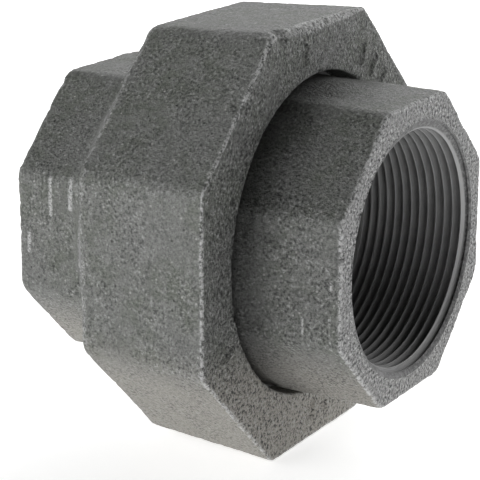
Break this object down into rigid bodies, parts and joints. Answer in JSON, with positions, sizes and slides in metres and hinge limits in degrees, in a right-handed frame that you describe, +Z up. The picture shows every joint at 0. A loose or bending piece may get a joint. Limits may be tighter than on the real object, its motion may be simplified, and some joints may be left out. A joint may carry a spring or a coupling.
{
  "type": "pipe union",
  "caption": "Octagonal ground-joint pipe union: two threaded pipe ends drawn together by a large octagonal nut, with a ball nose sealing on a brass ring.",
  "frame": {"origin": "on the pipe axis, at the middle of the closed union's length, with the nut done up tight", "axes": "+X along the pipe axis and out of the tail piece's mouth, +Z up, with flats of all three octagons facing up, down and to both sides"},
  "size_m": [0.0886, 0.103, 0.103],
  "materials": {
    "black_iron": "as-cast black malleable iron with machined threads",
    "brass": "turned"
  },
  "bodies": {
    "tail": {"tail_piece": "black_iron"},
    "nut": {"union_nut": "black_iron"},
    "thread_end": {"thread_piece": "black_iron", "brass_seat_ring": "brass"}
  },
  "joints": [
    {"name": "nut_turn", "type": "hinge", "parent": "tail", "child": "nut", "pos_m": [0.0108, 0, 0], "axis": [1, 0, 0], "range_deg": [0, 1800]},
    {"name": "thread_end_draw", "type": "slide", "parent": "tail", "child": "thread_end", "axis": [-1, 0, 0], "range_m": [0, 0.0159]}
  ],
  "couplings": [
    {"joint": "thread_end_draw", "follows": "nut_turn", "m_per_rad": 0.00050532}
  ]
}
